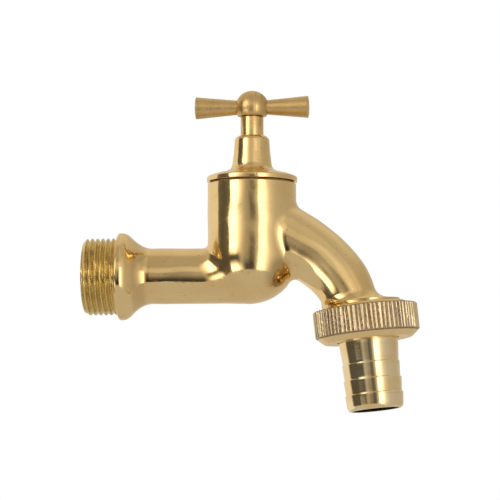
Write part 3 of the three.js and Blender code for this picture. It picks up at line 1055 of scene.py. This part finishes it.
@dataclass
class Headgear:
    """Bonnet, gasket, spindle, seals and valve, all turned about the barrel's axis."""

    layout: Layout
    stem: float = 3.93
    neck: float = 3.2
    screw_radius: float = 5.0
    screw_root: float = 4.15
    lead: float = 2.5
    seal_stations: tuple[float, float] = (40.4, 42.3)
    seal_groove: float = 2.85
    groove_half: float = 0.7

    def bonnet(self, material: bpy.types.Material) -> None:
        """Turns the bonnet: skirt, flange, domed shoulder, flare and tapered neck."""
        outline = rounded(
            [
                (10.1, 22.8, 0),
                (12.3, 22.8, 0.4),
                (12.3, 32.2, 0),
                (15.5, 32.2, 0.15),
                (15.5, 33.75, 0.45),
                (14.9, 34.15, 0.8),
                (12.6, 34.95, 3),
                (9.6, 35.6, 3),
                (7.25, 36.75, 1.8),
                (6.75, 38.3, 3),
                (6.25, 42.2, 10),
                (5.92, 47.0, 1.4),
                (4.85, 48.1, 0.5),
                (4.15, 48.1, 0.2),
                (4.15, 39.6, 0),
                (5.3, 39.6, 0),
                (5.3, 26.8, 0),
                (10.1, 26.8, 0),
                (10.1, 22.8, 0),
            ],
            pieces=6,
        )
        turned_piece("bonnet", outline, self.layout.valve, 192, ("body", "polished_brass", material))

    def gasket(self, material: bpy.types.Material) -> None:
        """Turns the fibre ring under the bonnet's flange."""
        outline = rounded([(13.5, 30.75, 0), (14.4, 30.75, 0.1), (14.4, 32.05, 0.1), (12.9, 32.05, 0.1)])
        outline = [*outline, (12.9, 30.75), outline[0]]
        turned_piece("bonnet_gasket", outline, self.layout.valve, 128, ("body", "fibre", material))

    def spindle(self, material: bpy.types.Material) -> None:
        """Turns the spindle: pin bore, screw, seal grooves, bright stem and necked top."""
        stem = self.stem

        def screw(points: Points) -> Points:
            """Cuts the spindle's square screw."""
            radius, angle, station = polar(points)
            phase = np.mod(station / self.lead - angle / TURN, 1.0)
            groove = smooth_step(np.abs(phase - 0.5), 0.2, 0.27)
            cut = self.screw_root + (self.screw_radius - self.screw_root) * groove
            on_screw = (station > 22.4) & (station < 32.6) & (radius > 4.5)
            return from_polar(np.where(on_screw, cut, radius), angle, station)

        outline = rounded([(2.7, 14.4, 0), (4.4, 14.4, 0.4), (4.4, 22, 0.2), (self.screw_radius, 22.3, 0.1)])
        outline += stepped([(self.screw_radius, 22.3), (self.screw_radius, 32.7)], 0.16)[1:]
        outline += [(stem, 33.5)]
        for station in self.seal_stations:
            low = station - self.groove_half
            high = station + self.groove_half
            outline += [(stem, low), (self.seal_groove, low), (self.seal_groove, high), (stem, high)]
        outline += rounded(
            [(stem, 46, 0), (stem, 54.75, 0.3), (self.neck, 54.75, 0), (self.neck, 61.2, 0.4), (0, 61.2, 0)]
        )
        outline += [(0, 22.5), (2.7, 22.5), (2.7, 18.1), (3.6, 18.1), (3.6, 16.7), (2.7, 16.7), (2.7, 14.4)]
        piece = turn_on_lathe("spindle", outline, self.layout.valve, 96, screw)
        hole = Axis((self.layout.valve.origin[0], 0.0, self.layout.handle_height), (1.0, 0.0, 0.0))
        combine(piece, turn_on_lathe("hole", [(0, -6), (1.8, -6), (1.8, 6), (0, 6)], hole, 48), "DIFFERENCE")
        smooth_shade(piece)
        finish_piece(piece, "spindle", "handle", "turned_brass", material)

    def seals(self, material: bpy.types.Material) -> None:
        """Turns the two O-rings of the stem."""
        section = 0.5
        middle = 3.48
        for name, station in zip(("stem_o_ring_lower", "stem_o_ring_upper"), self.seal_stations):
            outline = [
                (middle + section * math.cos(a), station + section * math.sin(a))
                for a in np.linspace(0.0, TURN, 17)
            ]
            dress = ("handle", "black_rubber", material)
            turned_piece(name, outline, self.layout.valve, 64, dress, sharp_degrees=60.0)

    def valve(self, brass: bpy.types.Material, rubber: bpy.types.Material, steel: bpy.types.Material) -> None:
        """Turns the jumper, its snap ring, the washer and the washer's nut."""
        axis = self.layout.valve
        jumper = rounded(
            [
                (0, 5.2, 0),
                (1.8, 5.2, 0.3),
                (1.8, 11.9, 0),
                (8.8, 11.9, 0.2),
                (8.8, 13.9, 0.5),
                (2.4, 13.9, 0.8),
                (2.4, 16.7, 0),
                (1.8, 16.7, 0),
                (1.8, 18.1, 0),
                (2.4, 18.1, 0),
                (2.4, 21.8, 0.5),
                (0, 21.8, 0),
            ]
        )
        turned_piece("valve_jumper", jumper, axis, 96, ("valve", "turned_brass", brass))
        ring = rounded(
            [(2.7, 17, 0), (3.3, 17, 0.1), (3.3, 17.8, 0.1), (2.1, 17.8, 0.1), (2.1, 17, 0.1), (2.7, 17, 0)]
        )
        turned_piece("jumper_snap_ring", ring, axis, 64, ("handle", "steel", steel))
        washer = rounded(
            [(5, 8.6, 0), (8.4, 8.6, 0.5), (8.4, 11.6, 0.3), (2.2, 11.6, 0.2), (2.2, 8.6, 0.3), (5, 8.6, 0)]
        )
        turned_piece("valve_washer", washer, axis, 96, ("valve", "black_rubber", rubber))
        bpy.ops.mesh.primitive_cylinder_add(
            vertices=6, radius=5.0 * MM, depth=2.7 * MM, location=(axis.origin[0] * MM, 0.0, 6.95 * MM)
        )
        nut = bpy.context.active_object
        nut.name = "valve_washer_nut"
        pick(nut)
        bpy.ops.object.transform_apply(location=True, rotation=True, scale=True)
        bore = rounded([(0, 5, 0), (2.7, 5, 0), (2.7, 5.6, 0), (2.2, 6.1, 0), (2.2, 9, 0), (0, 9, 0)])
        combine(nut, turn_on_lathe("bore", bore, axis, 48), "DIFFERENCE")
        apply_modifier(nut, "BEVEL", width=0.15 * MM, segments=2, limit_method="ANGLE")
        smooth_shade(nut)
        finish_piece(nut, "valve_washer_nut", "valve", "turned_brass", brass)


@dataclass
class TeeHandle:
    """The tee handle: a ball hub, two tapered arms and the stud that ties them to the stem."""

    layout: Layout
    ball: float = 5.78
    foot: float = 54.97
    arm_start: float = 5.1
    arm_end: float = 19.6
    arm_root: float = 2.52
    arm_tip: float = 3.74

    def cross_axis(self, side: float) -> Axis:
        """Gives the arms' axis, running out to one side."""
        return Axis((self.layout.valve.origin[0], 0.0, self.layout.handle_height), (side, 0.0, 0.0))

    def hub(self, material: bpy.types.Material) -> None:
        """Turns the ball, flat underneath, and drills it for the stem, the stud and the arms."""
        height = self.layout.handle_height
        start = math.asin((self.foot - height) / self.ball)
        arc = [
            (self.ball * math.cos(a), height + self.ball * math.sin(a))
            for a in np.linspace(start, math.pi / 2, 40)
        ]
        corners = [(0.0, self.foot, 0.0), (arc[0][0], self.foot, 0.35), (*arc[3], 0.0)]
        outline = [*rounded(corners), *arc[4:-1], (0.0, height + self.ball)]
        piece = turn_on_lathe("handle_hub", outline, self.layout.valve, 128)
        stem = [(0.0, 54.0), (3.6, 54.0), (3.6, 61.5), (0.0, 61.5)]
        combine(piece, turn_on_lathe("stem_hole", stem, self.layout.valve, 64), "DIFFERENCE")
        for side in (-1.0, 1.0):
            pocket = [(0, 3.0), (1.8, 3.0), (1.8, 4.85), (2.62, 4.85), (2.62, 7.0), (0, 7.0)]
            combine(piece, turn_on_lathe("pocket", pocket, self.cross_axis(side), 64), "DIFFERENCE")
        smooth_shade(piece)
        finish_piece(piece, "handle_hub", "handle", "satin_brass", material)

    def arm(self, name: str, side: float, material: bpy.types.Material) -> None:
        """Turns one arm, with shallow tool rings, a rounded tip and a slightly crowned end."""
        outline = rounded([(1.8, self.arm_start, 0), (2.5, self.arm_start, 0.12), (self.arm_root, 5.5, 0)])
        tip = self.arm_end - 0.75
        count = 60
        for i in range(1, count + 1):
            share = i / count
            groove = 0.0014 * math.sin(2.4 * i) + 0.0008 * math.sin(5.3 * i + 1.0)
            radius = self.arm_root + (self.arm_tip - self.arm_root) * share + groove * (1.0 - share * 0.4)
            outline.append((radius, 5.5 + (tip - 5.5) * share))
        outline += rounded(
            [
                (3.78, tip + 0.1, 0),
                (3.8, self.arm_end - 0.25, 0.4),
                (2.6, self.arm_end - 0.02, 2.0),
                (0, self.arm_end + 0.04, 0),
            ]
        )[1:]
        outline += [(0, 11.8), (1.8, 11.8), (1.8, self.arm_start)]
        dress = ("handle", "satin_brass", material)
        turned_piece(name, outline, self.cross_axis(side), 96, dress, sharp_degrees=40.0)

    def stud(self, material: bpy.types.Material) -> None:
        """Turns the threaded cross stud."""
        pitch = 0.5

        def thread(points: Points) -> Points:
            """Cuts the stud's fine thread."""
            radius, angle, station = polar(points)
            phase = np.mod(station / pitch - angle / TURN, 1.0)
            cut = 1.5 - 0.28 * (1.0 - 2.0 * np.abs(phase - 0.5))
            return from_polar(np.where(radius > 1.4, cut, radius), angle, station)

        rod = stepped([(1.5, -11.2), (1.5, 11.2)], 0.09)
        outline = [(0, -11.5), (1.2, -11.5), *rod, (1.2, 11.5), (0, 11.5)]
        dress = ("handle", "steel", material)
        turned_piece("handle_stud", outline, self.cross_axis(1.0), 32, dress, thread, 50.0)

    def build(self, hub: bpy.types.Material, arm: bpy.types.Material, steel: bpy.types.Material) -> None:
        """Builds and dresses the whole handle."""
        self.hub(hub)
        self.arm("handle_arm_left", -1.0, arm)
        self.arm("handle_arm_right", 1.0, arm)
        self.stud(steel)


@dataclass
class HoseUnion:
    """The knurled union nut, the barbed tail and its washer, about the outlet's leaning axis."""

    layout: Layout
    ridges: int = 72
    steps_per_ridge: int = 9
    crest: float = 17.88
    groove: float = 0.52
    knurl_start: float = 0.25
    knurl_end: float = 9.1
    mouth: float = 35.07

    def knurl(self, points: Points) -> Points:
        """Rolls an uneven straight knurl into the rim and cuts the nut's inside thread."""
        radius, angle, station = polar(points)
        turns = np.mod(angle / TURN, 1.0) * self.ridges
        chance = np.random.default_rng(11)
        shift = chance.normal(0.0, 0.075, self.ridges)
        depth = chance.uniform(0.62, 1.05, self.ridges)
        lean = chance.normal(0.0, 0.05, self.ridges)
        index = np.floor(turns).astype(int) % self.ridges
        mid = 0.5 * (self.knurl_start + self.knurl_end)
        centre = 0.5 + shift[index] + lean[index] * (station - mid) / mid
        gap = np.abs(turns - np.floor(turns) - centre)
        notch = 1.0 - smooth_step(gap, 0.08, 0.42)
        wobble = 1.0 + 0.12 * np.sin(3.1 * station + 1.9 * index)
        cut = self.crest - self.groove * depth[index] * notch * wobble
        cut -= 0.05 * smooth_step(np.sin(7.0 * angle + 0.4) * np.sin(0.9 * station + 2.0 * angle), 0.3, 1.0)
        radius = np.where(radius > 16.2, np.minimum(radius, cut), radius)
        inner = np.maximum(THREAD.radius(angle, station) + 0.12, 12.35)
        inner = inner + (13.45 - inner) * (1.0 - smooth_step(station, 0.3, 1.1))
        inner = inner + (13.45 - inner) * smooth_step(station, 6.6, 7.4)
        on_thread = (radius < 13.6) & (radius > 13.3) & (station > 0.25) & (station < 9.2)
        radius = np.where(on_thread, inner, radius)
        return from_polar(radius, angle, station)

    def nut(self, material: bpy.types.Material) -> None:
        """Turns and knurls the union nut."""
        outer = rounded(
            [
                (14.4, 0.0, 0),
                (17.35, 0.0, 0.15),
                (17.9, 0.42, 0.2),
                (17.9, 8.75, 0.3),
                (17.35, 9.35, 0.2),
                (15.1, 11.3, 0.5),
                (14.5, 11.4, 0.2),
                (10.9, 11.4, 0.3),
                (10.7, 11.1, 0.1),
                (10.7, 9.3, 0),
                (13.4, 9.3, 0),
            ]
        )
        outline: Outline = []
        for first, last in zip(outer, outer[1:]):
            is_rim = min(first[0], last[0]) > 17.3
            outline += stepped([first, last], 0.6 if is_rim else 5.0)[:-1]
        outline += stepped([(13.4, 9.3), (13.4, 0.25)], 0.2)
        outline += [(13.75, 0.0), (14.4, 0.0)]
        segments = self.ridges * self.steps_per_ridge
        dress = ("nut", "knurled_brass", material)
        turned_piece("union_nut", outline, self.layout.outlet, segments, dress, self.knurl, 38.0)

    def tail(self, material: bpy.types.Material) -> None:
        """Turns the hose tail: flange, plain neck, three barbs that face the nut, rounded mouth."""
        corners: list[tuple[float, float, float]] = [
            (7.9, 7.6, 0.0),
            (12.9, 7.6, 0.2),
            (12.9, 9.0, 0.2),
            (10.2, 9.0, 0.3),
            (10.08, 12.5, 6.0),
            (9.72, 16.6, 8.0),
            (9.5, 19.05, 0.15),
        ]
        barbs = ((19.1, 9.84, 24.5, 9.5), (24.5, 9.9, 29.6, 9.52), (29.6, 9.95, 33.6, 9.62))
        for start, crest, end, foot in barbs:
            corners.append((crest, start + 0.08, 0.14))
            corners.append((crest - 0.05, start + 0.75, 0.6))
            corners.append((foot, end - 0.05, 0.15))
        corners += [(9.3, 34.6, 0.8), (8.75, self.mouth, 0.35), (8.15, self.mouth, 0.25)]
        corners += [(7.9, 34.7, 0.3), (7.9, 7.6, 0.0)]
        outline = stepped(rounded(corners, pieces=5), 0.9)
        dress = ("tail", "turned_brass", material)
        turned_piece("hose_tail", outline, self.layout.outlet, 192, dress, sharp_degrees=28.0)

    def washer(self, material: bpy.types.Material) -> None:
        """Turns the sealing washer between the outlet and the tail."""
        corners = [(10, 5.6, 0), (12.6, 5.6, 0.3), (12.6, 7.3, 0.3)]
        corners += [(8.3, 7.3, 0.3), (8.3, 5.6, 0.3), (10, 5.6, 0)]
        dress = ("tail", "black_rubber", material)
        turned_piece("hose_tail_washer", rounded(corners), self.layout.outlet, 128, dress)


# ------------------------------------------------------------------------------------------ studio


@dataclass(frozen=True)
class Patch:
    """A soft-edged stretch of the surround: the degrees at which it fades in and out, and its strength."""

    bearing: tuple[float, float, float, float]
    height: tuple[float, float, float, float]
    strength: float


@dataclass(frozen=True)
class Studio:
    """Plain pale floor, a white surround with dark and bright panels to mirror, and the camera.

    The horizon and the ceiling give the surround's light at bearings in degrees. Bearing 0 is towards
    -Y, the tap's front, and 90 towards +X.
    """

    target: tuple[float, float, float] = (56.99, 0.0, 8.8)
    azimuth: float = 5.5
    elevation: float = -6.0
    distance: float = 1200.0
    lens: float = 252.2
    floor_drop: float = 620.0
    floor_radius: float = 1220.0
    tint: tuple[float, float, float] = (0.93, 0.83, 0.68)
    horizon: tuple[tuple[float, float], ...] = (
        (-180, 0.70), (-150, 0.92), (-95, 1.0), (-92, 0.17), (-76, 0.12), (-57, 0.2), (-53, 3.6), (-37, 3.6),
        (-31, 1.7), (-22, 0.95), (-14, 0.56), (-5, 0.42), (5, 0.42), (12, 0.56), (20, 0.7), (24, 2.6),
        (34, 2.8), (42, 1.7), (50, 1.02), (60, 0.74), (72, 0.6), (96, 0.55), (130, 0.56), (156, 0.64),
        (180, 0.70),
    )
    ceiling: tuple[tuple[float, float], ...] = (
        (-180, 0.85), (-120, 0.75), (-60, 0.6), (-20, 0.54), (30, 0.54), (90, 0.62), (150, 0.8), (180, 0.85),
    )
    low_left: Patch = Patch((-104.4, -90.0, -32.4, -12.6), (-24.0, -7.0, -4.0, 6.0), 0.11)
    high_right: Patch = Patch((7.2, 21.6, 43.2, 61.2), (10.0, 18.0, 90.0, 91.0), 0.68)
    dark_line: Patch = Patch((-28.8, -10.8, 3.6, 21.6), (-91.0, -90.0, -21.0, 4.0), 0.88)
    stand: Patch = Patch((-3.6, 1.8, 10.8, 16.2), (-91.0, -90.0, 5.0, 7.8), 0.55)
    pale_line: Patch = Patch((-50.4, -28.8, 28.8, 57.6), (8.0, 15.0, 24.0, 38.0), 0.3)

    def floor(self) -> None:
        """Lays the plain floor."""
        radius = self.floor_radius * MM
        place = (0.06, 0.0, 0.0)
        bpy.ops.mesh.primitive_circle_add(vertices=96, radius=radius, fill_type="NGON", location=place)
        floor = bpy.context.active_object
        floor.name = "floor"
        floor.location.z = -self.floor_drop * MM
        pick(floor)
        bpy.ops.object.transform_apply(location=True, rotation=False, scale=False)
        f = Finisher("floor")
        tone = f.noise(3.0, 2.0)
        colour = f.blend(tone.ramp(0.3, 0.7), (0.81, 0.83, 0.89, 1.0), (0.84, 0.86, 0.92, 1.0))
        f.set(Base_Color=colour, Roughness=0.85, Specular_IOR_Level=0.1)
        floor.data.materials.append(f.material)

    def surround(self) -> None:
        """Builds the surround: white to look at, with soft panels for the brass to mirror."""
        world = bpy.data.worlds.new("surround")
        bpy.context.scene.world = world
        world.use_nodes = True
        tree = WorldTree(world)
        light = tree.surround_light(self)
        background = world.node_tree.nodes["Background"]
        tree.links.new(light.socket, background.inputs["Strength"])
        plain = world.node_tree.nodes.new("ShaderNodeBackground")
        plain.inputs["Strength"].default_value = 1.0
        path = world.node_tree.nodes.new("ShaderNodeLightPath")
        mix = world.node_tree.nodes.new("ShaderNodeMixShader")
        tree.links.new(path.outputs["Is Camera Ray"], mix.inputs[0])
        tree.links.new(background.outputs[0], mix.inputs[1])
        tree.links.new(plain.outputs[0], mix.inputs[2])
        tree.links.new(mix.outputs[0], world.node_tree.nodes["World Output"].inputs["Surface"])
        background.inputs["Color"].default_value = (*self.tint, 1.0)
        plain.inputs["Color"].default_value = (1.0, 1.0, 1.0, 1.0)

    def camera(self) -> None:
        """Places the camera, looking slightly up at the tap."""
        scene = bpy.context.scene
        data = bpy.data.cameras.new("camera")
        data.lens = self.lens
        data.clip_start = 0.01
        data.clip_end = 20.0
        camera = bpy.data.objects.new("camera", data)
        scene.collection.objects.link(camera)
        azimuth = math.radians(self.azimuth)
        elevation = math.radians(self.elevation)
        back = Vector(
            (
                math.sin(azimuth) * math.cos(elevation),
                -math.cos(azimuth) * math.cos(elevation),
                math.sin(elevation),
            )
        )
        camera.location = (Vector(self.target) + back * self.distance) * MM
        camera.rotation_euler = (-back).to_track_quat("-Z", "Y").to_euler()
        scene.camera = camera

    def build(self) -> None:
        """Builds the floor, the surround and the camera, and keeps whites white."""
        self.floor()
        self.surround()
        self.camera()
        bpy.context.scene.view_settings.view_transform = "Standard"


class WorldTree(Finisher):
    """Builds the surround's nodes."""

    def __init__(self, world: bpy.types.World) -> None:
        """Works on a world's own nodes."""
        self.nodes = world.node_tree.nodes
        self.links = world.node_tree.links

    def surround_light(self, studio: Studio) -> Socket:
        """Gives the surround's light: the horizon's panels under the ceiling, then the studio's patches."""
        heading = self.add("ShaderNodeTexCoord", {}, {})
        parts = self.nodes.new("ShaderNodeSeparateXYZ")
        self.links.new(heading.socket, parts.inputs[0])
        x, y, z = (Socket(self, output) for output in parts.outputs)
        angle = self.add("ShaderNodeMath", {"operation": "ARCTAN2"}, {0: x, 1: 0.0 - y})
        bearing = angle * (1.0 / TURN) + 0.5
        height = self.add("ShaderNodeMath", {"operation": "ARCSINE"}, {0: z}) * math.degrees(1.0)
        over = height.ramp(30.0, 48.0)
        below = self.by_bearing(bearing, studio.horizon) * (1.0 - over)
        light = below + self.by_bearing(bearing, studio.ceiling) * over
        for panel in (studio.low_left, studio.high_right):
            share = self.share_of(panel, bearing, height)
            light = light * (1.0 - share) + share * panel.strength
        for shadow in (studio.dark_line, studio.stand):
            light = light * (1.0 - self.share_of(shadow, bearing, height) * shadow.strength)
        return light + self.share_of(studio.pale_line, bearing, height) * studio.pale_line.strength

    def share_of(self, patch: Patch, bearing: Socket, height: Socket) -> Socket:
        """Gives 1 inside a patch of the surround, 0 outside it and an ease at its edges."""
        start, full, fading, end = (degrees / 360.0 + 0.5 for degrees in patch.bearing)
        across = bearing.ramp(start, full) * bearing.ramp(fading, end, 1.0, 0.0)
        start, full, fading, end = patch.height
        return across * height.ramp(start, full) * height.ramp(fading, end, 1.0, 0.0)

    def by_bearing(self, bearing: Socket, stops: Sequence[Stop]) -> Socket:
        """Gives a light that changes with the bearing, from stops in degrees."""
        brightest = max(light for _, light in stops)
        ramp = self.nodes.new("ShaderNodeValToRGB")
        elements = ramp.color_ramp.elements
        elements.remove(elements[0])
        for i, (degrees, light) in enumerate(stops):
            element = elements[0] if i == 0 else elements.new(degrees / 360.0 + 0.5)
            element.position = degrees / 360.0 + 0.5
            element.color = (*([light / brightest] * 3), 1.0)
        self.links.new(bearing.socket, ramp.inputs[0])
        return Socket(self, ramp.outputs[0]) * brightest


# ------------------------------------------------------------------------------------------ the tap


def main() -> None:
    """Builds the tap piece by piece around the frame."""
    logging.basicConfig(level=logging.INFO, format="%(message)s")
    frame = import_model()
    deselect_all()
    layout = Layout.from_frame(frame)
    Studio().build()

    polished = PolishedCasting(layout.inlet).make()
    rubber = Rubber().make()
    fibre = Fibre().make()
    steel = Steel().make()
    handle = TeeHandle(layout)
    bright = TurnedBrass(
        "turned_brass_stem", layout.valve, 0.24, depth=0.000001, tint=Brass.WARM, shade=Brass.SATIN
    ).make()
    valve_brass = TurnedBrass("turned_brass_valve", layout.valve, 0.25).make()
    tail_brass = TurnedBrass(
        "turned_brass_tail", layout.outlet, 0.07, 1800.0, 0.0000008, Brass.PALE, Brass.CLEAN, 0.0081, 0.000005
    ).make()
    cross = handle.cross_axis(1.0)
    satin = (Brass.SATIN, Brass.OCHRE)
    satin_hub = TurnedBrass("satin_brass_hub", cross, 0.34, 1900.0, 0.0000009, *satin).make()
    satin_arm = TurnedBrass("satin_brass_arms", cross, 0.37, 1900.0, 0.0000008, *satin).make()

    TapBody(layout).build(polished)
    headgear = Headgear(layout)
    headgear.bonnet(polished)
    headgear.gasket(fibre)
    headgear.spindle(bright)
    headgear.seals(rubber)
    headgear.valve(valve_brass, rubber, steel)
    handle.build(satin_hub, satin_arm, steel)
    union = HoseUnion(layout)
    union.nut(KnurledBrass(layout.outlet).make())
    union.tail(tail_brass)
    union.washer(rubber)
    deselect_all()


if __name__ == "__main__":
    main()
